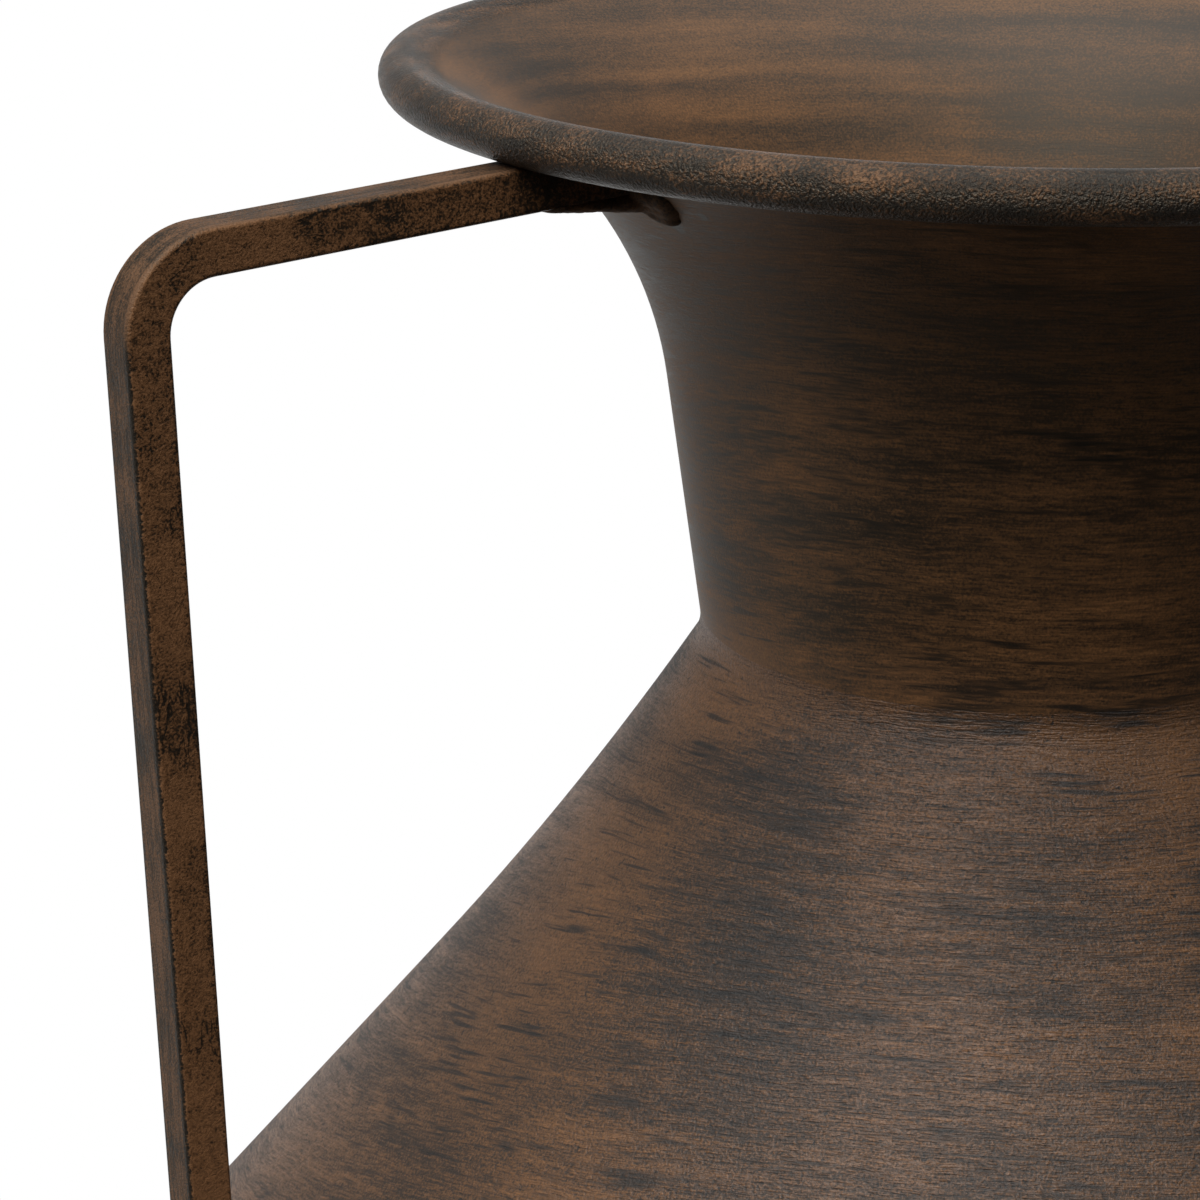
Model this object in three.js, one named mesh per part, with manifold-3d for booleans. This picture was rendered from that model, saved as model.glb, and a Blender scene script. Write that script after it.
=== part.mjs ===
// A jug vase in welded sheet iron: a spun trumpet neck with a wired rim, a body made of two
// spun halves, a flat base plate, one handle bent from bar, the welds that join them and the
// rubber feet that it stands on. Millimetres, +Z up. The origin is on the vase's axis, level
// with the underside of the feet, and the handle lies along -X.

import * as THREE from 'three';
import { mergeVertices } from 'three/addons/utils/BufferGeometryUtils.js';
import Module from 'manifold-3d';

const wasm = await Module();
wasm.setup();

const degrees = THREE.MathUtils.degToRad;

// Stock that the vase is made from
const SHEET = 1.0;
const BASE_SHEET = 1.5;
const WIRE_DIAMETER = 4.6;
const BAR_WIDTH = 6.8;
const BAR_THICKNESS = 6.5;
const BAR_ARRIS = 0.6;
const FIT_GAP = 0.3; // clearance between pieces that seat on each other

// Neck: a straight taper that opens into a trumpet and rolls over the rim wire
const RIM_RADIUS = 92.5; // centre circle of the rim wire
const NECK_HEIGHT = 88.1; // from the crease above the shoulder to the rim wire
const NECK_FOOT_RADIUS = 47.2; // outside, at the crease
const NECK_TAPER = degrees(8.15);
const FLARE_RADIUS = 63.4; // inside of the trumpet's bend
const SOCKET_DEPTH = 9.0; // how far the shoulder's upstand reaches into the neck

// Shoulder: a cone that opens out a little more below the neck and rounds over at the belly
const SHOULDER_TOP_ANGLE = degrees(32.2); // from the vertical, under the neck
const SHOULDER_ANGLE = degrees(39.5); // from the vertical, lower down
const SHOULDER_BEND = 660.0;
const BELLY_RADIUS = 158.0;
const BELLY_ROUND = 32.0;

// Lower body: a bowl lapped inside the shoulder's edge, with a short upright foot
const LOWER_HEIGHT = 134.0; // from the underside of the base to the belly seam
const LOWER_TAPER = degrees(35); // from the vertical, where the bowl meets its foot
const BELLY_LAP = 8.0;
const SEAM_GROOVE = 2.5;
const BASE_RADIUS = 96.0;
const FOOT_HEIGHT = 8.0;

// Handle: an arm tucked under the rolled rim, and a leg that stands on the shoulder
const HANDLE_INSET = 7.9; // bend's corner, measured inwards from the belly
const ARM_SLOPE = degrees(2.3); // down, going outwards
const LEG_LEAN = degrees(1.9); // inwards, going down
const BEND_INSIDE = 7.0;

// Welds and feet
const SEAM_LEG = 6.5; // length of the neck seam's fillet along each wall
const BASE_WELD_LEG = 2.5;
const TOP_WELD_REACH = 9.0; // along the arm, from its root
const TOP_WELD_SPREAD = 8.0; // to each side of the arm
const TOP_WELD_DEPTH = 3.5; // below the arm
const FOOT_WELD_SPREAD = 4.5; // to each side of the leg, and up and down the slope
const FOOT_WELD_DEPTH = 5.0; // out from the slope
const RUBBER_COUNT = 4;
const RUBBER_DIAMETER = 18.0;
const RUBBER_THICKNESS = 2.0;
const RUBBER_INSET = 20.0; // rubber's centre, measured inwards from the wall of the foot

// Facets
const TURN_STEPS = 48;
const FLARE_STEPS = 7;
const CURL_STEPS = 12;
const WIRE_SIDES = 12;
const SHOULDER_STEPS = 3;
const BELLY_STEPS = 5;
const BOWL_STEPS = 8;
const LAP_STEPS = 2;
const FILLET_STEPS = 4;
const BEND_STEPS = 6;
const ARRIS_STEPS = 2;
const LUMP_STEPS = 16;
const RUBBER_STEPS = 24;

const iron = { color: 0x5a4738, roughness: 0.55, metalness: 0.5 };
const handleIron = { color: 0x5b4430, roughness: 0.5, metalness: 0.5 };
const ironWeld = { color: 0x453528, roughness: 0.65, metalness: 0.5 };
const steelWire = { color: 0x77726c, roughness: 0.45, metalness: 0.9 };
const rubber = { color: 0x2a2827, roughness: 0.85, metalness: 0.0 };

// Profiles are lists of points (radius, height), in order along the wall

const at = (radius, height) => new THREE.Vector2(radius, height);

function arc(centre, radius, from, to, steps) {
  const points = [];
  for (let step = 0; step <= steps; step += 1) {
    const angle = from + ((to - from) * step) / steps;
    points.push(at(centre.x + radius * Math.cos(angle), centre.y + radius * Math.sin(angle)));
  }
  return points;
}

// The unit vector to the right of the way from one point to the next
function rightOf(from, to) {
  const way = to.clone().sub(from).normalize();
  return at(way.y, -way.x);
}

// The same path, moved to the right of its travel and mitred at its corners
function beside(path, distance) {
  return path.map((point, index) => {
    const first = index === 0;
    const last = index === path.length - 1;
    const arriving = first ? rightOf(point, path[1]) : rightOf(path[index - 1], point);
    const leaving = last ? arriving : rightOf(point, path[index + 1]);
    const mitre = arriving.clone().add(leaving).normalize();
    return point.clone().addScaledVector(mitre, distance / mitre.dot(arriving));
  });
}

// A sheet wall: the path on one side, and the path beside it on the other
const wall = (path, thickness) => [...path, ...beside(path, thickness).reverse()];

// A solid turned about the Z axis from a section whose ends lie on the axis
function turned(section) {
  const outline = THREE.ShapeUtils.isClockWise(section) ? section.slice().reverse() : section;
  return new THREE.LatheGeometry(outline, TURN_STEPS).rotateX(Math.PI / 2);
}

// A ring turned about the Z axis from a section that lies clear of the axis
function ring(section) {
  const outline = THREE.ShapeUtils.isClockWise(section) ? section.slice().reverse() : section;
  return new THREE.LatheGeometry([...outline, outline[0]], TURN_STEPS).rotateX(Math.PI / 2);
}

// A full plug under a wall's path, from the path to the axis
const plug = (path) => turned([at(0, path[0].y), ...path, at(0, path[path.length - 1].y)]);

// Joins and cuts between closed shapes

function solid(geometry) {
  const bare = geometry.clone();
  bare.deleteAttribute('normal');
  bare.deleteAttribute('uv');
  const merged = mergeVertices(bare);
  return new wasm.Manifold(new wasm.Mesh({
    numProp: 3,
    vertProperties: new Float32Array(merged.attributes.position.array),
    triVerts: new Uint32Array(merged.index.array),
  }));
}

function shapeOf(body) {
  const mesh = body.getMesh();
  const geometry = new THREE.BufferGeometry();
  geometry.setAttribute('position', new THREE.BufferAttribute(mesh.vertProperties, 3));
  geometry.setIndex(new THREE.BufferAttribute(mesh.triVerts, 1));
  geometry.computeVertexNormals();
  return geometry;
}

// Heights, from the rubber feet up

const footZ = RUBBER_THICKNESS;
const seamZ = footZ + LOWER_HEIGHT;

// The shoulder's upstand meets its cone a little above the crease
const lapAcross = (SHEET + FIT_GAP) / Math.cos(NECK_TAPER);
const bendRise = lapAcross / (Math.tan(NECK_TAPER) + Math.tan(SHOULDER_TOP_ANGLE));
const bendRadius = NECK_FOOT_RADIUS - bendRise * Math.tan(SHOULDER_TOP_ANGLE);
const curveOut = SHOULDER_BEND * (Math.cos(SHOULDER_TOP_ANGLE) - Math.cos(SHOULDER_ANGLE));
const curveDrop = SHOULDER_BEND * (Math.sin(SHOULDER_ANGLE) - Math.sin(SHOULDER_TOP_ANGLE));
const coneOut = BELLY_RADIUS - BELLY_ROUND * (1 - Math.cos(SHOULDER_ANGLE)) - bendRadius - curveOut;
const coneDrop = coneOut / Math.tan(SHOULDER_ANGLE);
const roundDrop = BELLY_ROUND * Math.sin(SHOULDER_ANGLE);
const creaseZ = seamZ + roundDrop + coneDrop + curveDrop - bendRise;
const rimZ = creaseZ + NECK_HEIGHT;

// Neck

const beadRadius = WIRE_DIAMETER / 2 + FIT_GAP + SHEET;
const rimCentre = at(RIM_RADIUS, rimZ);
const neckWay = at(Math.sin(NECK_TAPER), Math.cos(NECK_TAPER));
const neckNormal = at(Math.cos(NECK_TAPER), -Math.sin(NECK_TAPER));
const coneNormal = at(Math.cos(SHOULDER_TOP_ANGLE), Math.sin(SHOULDER_TOP_ANGLE));
const crease = at(NECK_FOOT_RADIUS, creaseZ);

const neckInsideAt = (height) => NECK_FOOT_RADIUS - SHEET / Math.cos(NECK_TAPER)
  + (height - creaseZ) * Math.tan(NECK_TAPER);

// The trumpet's bend touches the straight taper at one end and the rim's roll at the other
const edgeZ = creaseZ + SHEET / Math.cos(NECK_TAPER) / Math.tan(SHOULDER_TOP_ANGLE)
  + FIT_GAP / Math.sin(SHOULDER_TOP_ANGLE);
const neckEdge = at(neckInsideAt(edgeZ), edgeZ);
const flareAcross = FLARE_RADIUS - rimCentre.clone().sub(neckEdge).dot(neckNormal);
const flareAlong = Math.sqrt((FLARE_RADIUS - beadRadius) ** 2 - flareAcross ** 2);
const flareCentre = rimCentre.clone()
  .addScaledVector(neckNormal, flareAcross)
  .addScaledVector(neckWay, -flareAlong);
const flareEnd = rimCentre.clone().sub(flareCentre).angle();
const trumpet = [
  neckEdge,
  ...arc(flareCentre, FLARE_RADIUS, Math.PI - NECK_TAPER, flareEnd, FLARE_STEPS),
];
const roll = arc(rimCentre, beadRadius, flareEnd, -Math.PI, CURL_STEPS).slice(1);

// Outside of the trumpet at a height
const trumpetRadiusAt = (height) => flareCentre.x
  - Math.sqrt((FLARE_RADIUS - SHEET) ** 2 - (height - flareCentre.y) ** 2);

const neckCollar = ring(wall([...trumpet, ...roll], SHEET));
const rimWire = new THREE.TorusGeometry(RIM_RADIUS, WIRE_DIAMETER / 2, WIRE_SIDES, TURN_STEPS)
  .translate(0, 0, rimZ);
const neckClearance = solid(plug(beside(trumpet, SHEET + FIT_GAP)));

// Shoulder

const bendZ = creaseZ + bendRise;
const bendCorner = at(bendRadius, bendZ);
const shoulderCentre = bendCorner.clone().addScaledVector(coneNormal, SHOULDER_BEND);
const bellyCentre = at(BELLY_RADIUS - BELLY_ROUND, seamZ);
const shoulderCone = [
  ...arc(
    shoulderCentre,
    SHOULDER_BEND,
    Math.PI + SHOULDER_TOP_ANGLE,
    Math.PI + SHOULDER_ANGLE,
    SHOULDER_STEPS,
  ),
  ...arc(bellyCentre, BELLY_ROUND, SHOULDER_ANGLE, 0, BELLY_STEPS),
];
const upstandTop = at(
  neckInsideAt(creaseZ + SOCKET_DEPTH) - FIT_GAP / Math.cos(NECK_TAPER),
  creaseZ + SOCKET_DEPTH,
);
const shoulder = ring(wall([upstandTop, ...shoulderCone], SHEET));
const shoulderClearance = solid(plug(beside(shoulderCone, -FIT_GAP)));

// Lower body and base

const lapRadius = BELLY_RADIUS - SHEET - FIT_GAP;
const jogZ = seamZ - SEAM_GROOVE;
const jog = BELLY_RADIUS - lapRadius;
const footTopZ = footZ + FOOT_HEIGHT;

function lowerBodyPath() {
  const bowlTop = at(BELLY_RADIUS, jogZ - jog);
  const bowlFoot = at(BASE_RADIUS, footTopZ);
  const bowlTurn = at(BELLY_RADIUS, footTopZ + (BELLY_RADIUS - BASE_RADIUS) / Math.tan(LOWER_TAPER));
  const bowl = new THREE.QuadraticBezierCurve(bowlTop, bowlTurn, bowlFoot);
  const lapRound = BELLY_ROUND - SHEET - FIT_GAP;
  return [
    ...arc(bellyCentre, lapRound, BELLY_LAP / BELLY_ROUND, 0, LAP_STEPS),
    at(lapRadius, jogZ),
    ...bowl.getPoints(BOWL_STEPS),
    at(BASE_RADIUS, footZ),
  ];
}

const lowerBody = ring(wall(lowerBodyPath(), SHEET));

const plateRadius = BASE_RADIUS - SHEET - FIT_GAP;
const plateTopZ = footZ + BASE_SHEET;
const basePlate = plug([at(plateRadius, plateTopZ), at(plateRadius, footZ)]);

// Seam welds

// A hollow fillet in the corner between the neck and the shoulder
function neckSeamSection() {
  const turn = NECK_TAPER + SHOULDER_TOP_ANGLE;
  const cornerReach = FIT_GAP / Math.cos(turn / 2);
  const cornerWay = neckNormal.clone().add(coneNormal).normalize();
  const corner = crease.clone().addScaledVector(cornerWay, cornerReach);
  const filletRadius = SEAM_LEG / Math.tan(turn / 2);
  const filletCentre = corner.clone()
    .addScaledVector(neckWay, SEAM_LEG)
    .addScaledVector(neckNormal, filletRadius);
  const hollow = arc(
    filletCentre,
    filletRadius,
    Math.PI - NECK_TAPER,
    Math.PI + SHOULDER_TOP_ANGLE,
    FILLET_STEPS,
  );
  return [corner, ...hollow];
}

// A flush filling in the groove between the shoulder's edge and the step in the lower body
function bellySeamSection() {
  const inner = BELLY_RADIUS - SHEET;
  const slopeAt = (radius) => jogZ - (radius - lapRadius) + FIT_GAP * Math.SQRT2;
  return [
    at(inner, seamZ - FIT_GAP),
    at(inner, slopeAt(inner)),
    at(BELLY_RADIUS, slopeAt(BELLY_RADIUS)),
    at(BELLY_RADIUS, seamZ - FIT_GAP),
  ];
}

// A bead inside, in the corner between the base plate and the wall of the foot
function baseSeamSection() {
  const bottom = plateTopZ + FIT_GAP;
  return [
    at(plateRadius, bottom),
    at(plateRadius, bottom + BASE_WELD_LEG),
    at(plateRadius - BASE_WELD_LEG, bottom),
  ];
}

const neckSeamWeld = ring(neckSeamSection());
const bellySeamWeld = ring(bellySeamSection());
const baseSeamWeld = ring(baseSeamSection());

// Handle, drawn in its own upright plane: x runs outwards from the vase's axis, y is height

const handleReach = BELLY_RADIUS - HANDLE_INSET;
const armWay = at(Math.cos(ARM_SLOPE), -Math.sin(ARM_SLOPE));
const armUp = at(Math.sin(ARM_SLOPE), Math.cos(ARM_SLOPE));
const legWay = at(-Math.sin(LEG_LEAN), -Math.cos(LEG_LEAN));
const legOut = at(Math.cos(LEG_LEAN), -Math.sin(LEG_LEAN));

const slideTo = (start, way, radius) => start.clone().addScaledVector(way, (radius - start.x) / way.x);

// The arm's top face passes just under the rolled rim
const underRim = rimCentre.clone().addScaledVector(armUp, -beadRadius - FIT_GAP);
const armMiddle = underRim.clone().addScaledVector(armUp, -BAR_THICKNESS / 2);
const bendMiddle = slideTo(armMiddle, armWay, handleReach);

function handleOutline() {
  const outside = BEND_INSIDE + BAR_THICKNESS;
  const middle = BEND_INSIDE + BAR_THICKNESS / 2;
  const armAngle = Math.PI / 2 - ARM_SLOPE;
  const legAngle = -LEG_LEAN;
  const setBack = middle * Math.tan((armAngle - legAngle) / 2);
  const bendCentre = bendMiddle.clone()
    .addScaledVector(armWay, -setBack)
    .addScaledVector(armUp, -middle);
  const outerBend = arc(bendCentre, outside, armAngle, legAngle, BEND_STEPS);
  const armRoot = slideTo(outerBend[0], armWay, NECK_FOOT_RADIUS);
  const legFall = outerBend[BEND_STEPS].y - seamZ;
  const legFoot = outerBend[BEND_STEPS].clone().addScaledVector(legWay, legFall);
  return wall([armRoot, ...outerBend, legFoot], BAR_THICKNESS);
}

// A drawn outline of the handle's plane, stood upright and given the bar's width
function handleBlank() {
  const blank = new THREE.ExtrudeGeometry(new THREE.Shape(handleOutline()), {
    depth: BAR_WIDTH - 2 * BAR_ARRIS,
    steps: 1,
    bevelThickness: BAR_ARRIS,
    bevelSize: BAR_ARRIS,
    bevelOffset: -BAR_ARRIS,
    bevelSegments: ARRIS_STEPS,
  });
  return blank.rotateX(Math.PI / 2).translate(0, BAR_WIDTH / 2 - BAR_ARRIS, 0);
}

const handleBody = solid(handleBlank()).subtract(neckClearance).subtract(shoulderClearance);

// Room for the bar in a weld: the bar's section with a clearance, along one straight run
function barRoom(middle, way) {
  const across = BAR_THICKNESS + 2 * FIT_GAP;
  const room = new THREE.BoxGeometry(handleReach, BAR_WIDTH + 2 * FIT_GAP, across);
  room.rotateY(-way.angle());
  return solid(room.translate(middle.x, 0, middle.y));
}

function lump(middle, way, reach, width, depth) {
  const blob = new THREE.SphereGeometry(1, LUMP_STEPS, LUMP_STEPS / 2);
  blob.rotateX(Math.PI / 2).scale(reach, width, depth).rotateY(-way.angle());
  return solid(blob.translate(middle.x, 0, middle.y));
}

// The weld under the arm and along both its sides, where it runs into the trumpet
function topWeld() {
  const armBottom = armMiddle.clone().addScaledVector(armUp, -BAR_THICKNESS / 2);
  const root = slideTo(armBottom, armWay, trumpetRadiusAt(armBottom.y));
  const rimRoom = new THREE.TorusGeometry(RIM_RADIUS, beadRadius + FIT_GAP, WIRE_SIDES, TURN_STEPS);
  return lump(root, armWay, TOP_WELD_REACH, BAR_WIDTH / 2 + TOP_WELD_SPREAD, TOP_WELD_DEPTH)
    .subtract(barRoom(armMiddle, armWay))
    .subtract(neckClearance)
    .subtract(solid(rimRoom.translate(0, 0, rimZ)));
}

// The weld round the leg's foot, on the slope of the shoulder
function footWeld() {
  const slopeWay = at(Math.sin(SHOULDER_ANGLE), -Math.cos(SHOULDER_ANGLE));
  const slopeOut = at(Math.cos(SHOULDER_ANGLE), Math.sin(SHOULDER_ANGLE));
  const fall = bendMiddle.clone().sub(shoulderCone[SHOULDER_STEPS]).dot(slopeOut);
  const legLength = -fall / legWay.dot(slopeOut);
  const middle = bendMiddle.clone().addScaledVector(legWay, legLength);
  const footLength = BAR_THICKNESS / Math.abs(slopeWay.dot(legOut));
  return lump(
    middle,
    slopeWay,
    footLength / 2 + FOOT_WELD_SPREAD,
    BAR_WIDTH / 2 + FOOT_WELD_SPREAD,
    FOOT_WELD_DEPTH,
  )
    .subtract(barRoom(middle, legWay))
    .subtract(shoulderClearance);
}

// Assembly

function piece(name, geometry, finish) {
  const mesh = new THREE.Mesh(geometry, new THREE.MeshStandardMaterial(finish));
  mesh.name = name;
  return mesh;
}

const jugVase = new THREE.Group();
jugVase.add(
  piece('neck_collar', neckCollar, iron),
  piece('rim_wire', rimWire, steelWire),
  piece('shoulder', shoulder, iron),
  piece('lower_body', lowerBody, iron),
  piece('base_plate', basePlate, iron),
  piece('neck_seam_weld', neckSeamWeld, ironWeld),
  piece('belly_seam_weld', bellySeamWeld, ironWeld),
  piece('base_seam_weld', baseSeamWeld, ironWeld),
);

const handle = new THREE.Group();
handle.rotation.z = Math.PI;
handle.add(
  piece('handle_bar', shapeOf(handleBody), handleIron),
  piece('handle_top_weld', shapeOf(topWeld()), ironWeld),
  piece('handle_foot_weld', shapeOf(footWeld()), ironWeld),
);
jugVase.add(handle);

const rubberRadius = RUBBER_DIAMETER / 2;
for (let count = 0; count < RUBBER_COUNT; count += 1) {
  const turn = (2 * Math.PI * (count + 0.5)) / RUBBER_COUNT;
  const disc = new THREE.CylinderGeometry(rubberRadius, rubberRadius, RUBBER_THICKNESS, RUBBER_STEPS);
  const rubberFoot = piece(`rubber_foot_${count + 1}`, disc.rotateX(Math.PI / 2), rubber);
  const reach = BASE_RADIUS - RUBBER_INSET;
  rubberFoot.position.set(reach * Math.cos(turn), reach * Math.sin(turn), RUBBER_THICKNESS / 2);
  jugVase.add(rubberFoot);
}

export default jugVase;
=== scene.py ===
# %% [markdown]
# A jug vase in welded sheet iron, dressed for a studio picture.
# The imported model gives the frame: every piece at its real size and place, in metres, with +Z up,
# the vase's axis on the Z axis and the handle along -X. This lesson keeps that frame and models each
# piece again, finer than the frame has it, and then paints it. The finish on the real vase is a
# copper-brown coat under a dark glaze that was brushed round it by hand.

# %% Load the frame
import math

import bpy
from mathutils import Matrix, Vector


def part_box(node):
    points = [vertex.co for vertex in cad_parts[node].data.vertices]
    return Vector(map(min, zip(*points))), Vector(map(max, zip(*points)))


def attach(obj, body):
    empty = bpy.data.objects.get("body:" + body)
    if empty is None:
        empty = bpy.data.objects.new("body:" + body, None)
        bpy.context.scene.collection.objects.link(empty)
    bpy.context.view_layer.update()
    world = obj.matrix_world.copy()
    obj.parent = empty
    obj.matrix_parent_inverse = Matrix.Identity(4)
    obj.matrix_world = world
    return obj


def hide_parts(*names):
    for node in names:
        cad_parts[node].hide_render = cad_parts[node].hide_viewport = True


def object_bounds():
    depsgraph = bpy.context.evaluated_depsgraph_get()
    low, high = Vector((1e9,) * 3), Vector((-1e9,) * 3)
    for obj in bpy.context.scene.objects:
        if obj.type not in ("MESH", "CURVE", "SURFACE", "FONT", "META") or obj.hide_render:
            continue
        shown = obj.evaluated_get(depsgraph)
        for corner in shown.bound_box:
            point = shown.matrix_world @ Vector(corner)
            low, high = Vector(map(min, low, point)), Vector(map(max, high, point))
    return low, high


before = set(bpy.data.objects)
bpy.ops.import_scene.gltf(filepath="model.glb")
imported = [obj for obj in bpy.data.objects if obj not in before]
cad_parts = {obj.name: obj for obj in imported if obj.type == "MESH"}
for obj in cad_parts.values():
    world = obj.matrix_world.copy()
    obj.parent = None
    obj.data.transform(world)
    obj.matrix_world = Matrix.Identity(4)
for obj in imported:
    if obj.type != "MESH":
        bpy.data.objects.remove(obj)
cad_low, cad_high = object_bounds()
print("frame, width, depth and height:", [round(side, 4) for side in cad_high - cad_low])

# %% [markdown]
# Sizes come first. The frame's boxes give what can be measured from outside, such as where the rim
# is and how wide the belly is. The rest are the driving sizes of a spun vase: the sheet's thickness,
# the angles of its walls and the radii of its bends. Every profile below follows from these few.

# %% Sizes that the frame gives
wire_low, wire_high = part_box("rim_wire")
collar_low, collar_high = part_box("neck_collar")
shoulder_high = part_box("shoulder")[1]
bowl_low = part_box("lower_body")[0]
plate_low, plate_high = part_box("base_plate")

rim_height = (wire_low.z + wire_high.z) / 2
rim_radius = wire_high.x - (wire_high.z - wire_low.z) / 2
roll_radius = collar_high.z - rim_height
belly_radius = shoulder_high.x
print("rim height and radius:", round(rim_height, 5), round(rim_radius, 5))
print("roll and belly radius:", round(roll_radius, 5), round(belly_radius, 5))

# %% Driving sizes of the sheet metal
SHEET = 0.001
FIT_GAP = 0.0003
NECK_HEIGHT = 0.0881
NECK_FOOT_RADIUS = 0.0472
NECK_TAPER = math.radians(8.15)
FLARE_RADIUS = 0.0634
SHOULDER_TOP_ANGLE = math.radians(32.2)
SHOULDER_ANGLE = math.radians(39.5)
SHOULDER_BEND = 0.66
BELLY_ROUND = 0.032
SOCKET_DEPTH = 0.009

crease_height = rim_height - NECK_HEIGHT
print("crease between neck and shoulder at", round(crease_height, 5))

# %% [markdown]
# The camera stands where the photograph was taken: a little above the rim, close to the vase, looking
# down and to the left of its axis, through a 70 mm lens. It is placed by its distance from the axis
# and its height over the rim, so it stays right if the vase's sizes change.

# %% Camera
CAMERA_REACH = 0.52163
CAMERA_OVER_RIM = 0.09028
CAMERA_TURN = math.radians(227.52)
LOOK_LEFT = math.radians(6.969)
LOOK_DOWN = math.radians(18.543)

bpy.ops.object.camera_add(
    location=(
        CAMERA_REACH * math.cos(CAMERA_TURN),
        CAMERA_REACH * math.sin(CAMERA_TURN),
        rim_height + CAMERA_OVER_RIM,
    ),
    rotation=(math.pi / 2 - LOOK_DOWN, 0.0, CAMERA_TURN + LOOK_LEFT - 3 * math.pi / 2),
)
camera = bpy.context.object
camera.name = "photo_camera"
camera.data.lens = 70.0
camera.data.sensor_width = 24.0
camera.data.clip_start = 0.01
bpy.context.scene.camera = camera
print("camera at", [round(value, 4) for value in camera.location])

# %% [markdown]
# A spun piece is a sheet profile turned about the axis, as the metal is turned on a spinning lathe.
# It could be a Screw modifier or a curve with a bevel, but the spin tool is closest to the craft: one
# vertex is drawn along the section, the section is closed, and Spin carries it round. The doubles
# are merged at the seam and the normals recalculated, so the wall is one closed skin.

# %% Profiles and the spin
ARC_STEPS = 14
TURN_STEPS = 160
WIDE_TURN_STEPS = 192
SMALL_TURN_STEPS = 96
FOOT_TURN_STEPS = 48
SAME_PLACE = 0.000001
SPUN_SMOOTH = math.radians(35)


def pick(*chosen):
    """Selects these objects alone and makes the first of them the active one."""
    bpy.ops.object.select_all(action="DESELECT")
    for item in chosen:
        item.select_set(True)
    bpy.context.view_layer.objects.active = chosen[0]


def modify(piece, kind, **options):
    """Adds a modifier, sets its options and applies it."""
    pick(piece)
    made = piece.modifiers.new(kind.lower(), kind)
    for option, value in options.items():
        setattr(made, option, value)
    bpy.ops.object.modifier_apply(modifier=made.name)


def merge_doubles():
    bpy.ops.mesh.select_all(action="SELECT")
    bpy.ops.mesh.remove_doubles(threshold=SAME_PLACE)


def close_mesh(smooth_under):
    """Turns the normals outwards, leaves Edit Mode and smooths all edges under an angle."""
    bpy.ops.mesh.select_all(action="SELECT")
    bpy.ops.mesh.normals_make_consistent(inside=False)
    bpy.ops.object.mode_set(mode="OBJECT")
    bpy.ops.object.shade_smooth_by_angle(angle=smooth_under)


def arc(centre, radius, start, end, steps=ARC_STEPS):
    points = []
    for step in range(steps + 1):
        angle = start + (end - start) * step / steps
        points.append((centre[0] + radius * math.cos(angle), centre[1] + radius * math.sin(angle)))
    return points


def along(point, way, distance):
    return (point[0] + way[0] * distance, point[1] + way[1] * distance)


def right_of(here, there):
    length = math.dist(here, there)
    return (there[1] - here[1]) / length, (here[0] - there[0]) / length


def beside(path, distance):
    """The same path, moved to the right of its travel and mitred at its corners."""
    moved = []
    for index, point in enumerate(path):
        before = path[index - 1] if index else point
        after = path[index + 1] if index + 1 < len(path) else point
        arriving = right_of(before, point) if index else right_of(point, after)
        leaving = right_of(point, after) if after != point else arriving
        across = (arriving[0] + leaving[0], arriving[1] + leaving[1])
        reach = distance / (across[0] * arriving[0] + across[1] * arriving[1])
        moved.append(along(point, across, reach))
    return moved


def sheet_wall(path):
    return path + beside(path, SHEET)[::-1]


def spin_piece(name, section, middle=(0.0, 0.0), closed=True, steps=TURN_STEPS):
    """A piece turned about an upright axis from a section of (radius, height) points."""
    start = (middle[0] + section[0][0], middle[1], section[0][1])
    bpy.ops.mesh.primitive_plane_add(size=SHEET, location=start)
    piece = bpy.context.object
    piece.name = name
    bpy.ops.object.transform_apply()
    bpy.ops.object.mode_set(mode="EDIT")
    bpy.ops.mesh.merge(type="CENTER")
    ahead = section[1:] + section[:1] if closed else section[1:]
    for here, there in zip(section, ahead):
        move = (there[0] - here[0], 0.0, there[1] - here[1])
        bpy.ops.mesh.extrude_region_move(TRANSFORM_OT_translate={"value": move})
    merge_doubles()
    bpy.ops.mesh.spin(steps=steps, angle=2 * math.pi, center=(*middle, 0.0), axis=(0.0, 0.0, 1.0))
    merge_doubles()
    close_mesh(SPUN_SMOOTH)
    print(name, "faces:", len(piece.data.polygons))
    return piece


# %% [markdown]
# The neck is one sheet: a straight taper that opens into a trumpet, whose edge is rolled over a wire.
# The trumpet's bend is an arc that touches the straight wall at its foot and the roll at its top, so
# its centre follows from those two. The path runs up the inside and over the roll, and the sheet's
# thickness lies to the right of it.

# %% Neck with its rolled rim
STRAIGHT_WALL = 0.012
FLARE_STEPS = 28
ROLL_STEPS = 32

rim_centre = (rim_radius, rim_height)
neck_way = (math.sin(NECK_TAPER), math.cos(NECK_TAPER))
neck_normal = (math.cos(NECK_TAPER), -math.sin(NECK_TAPER))


def neck_inside(height):
    foot_inside = NECK_FOOT_RADIUS - SHEET / math.cos(NECK_TAPER)
    return foot_inside + (height - crease_height) * math.tan(NECK_TAPER)


edge_height = collar_low.z
neck_edge = (neck_inside(edge_height), edge_height)
reach_out = rim_centre[0] - neck_edge[0]
reach_up = rim_centre[1] - neck_edge[1]
flare_across = FLARE_RADIUS - (reach_out * neck_normal[0] + reach_up * neck_normal[1])
flare_along = math.sqrt((FLARE_RADIUS - roll_radius) ** 2 - flare_across**2)
flare_centre = along(along(rim_centre, neck_normal, flare_across), neck_way, -flare_along)
flare_end = math.atan2(rim_centre[1] - flare_centre[1], rim_centre[0] - flare_centre[0])

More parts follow.
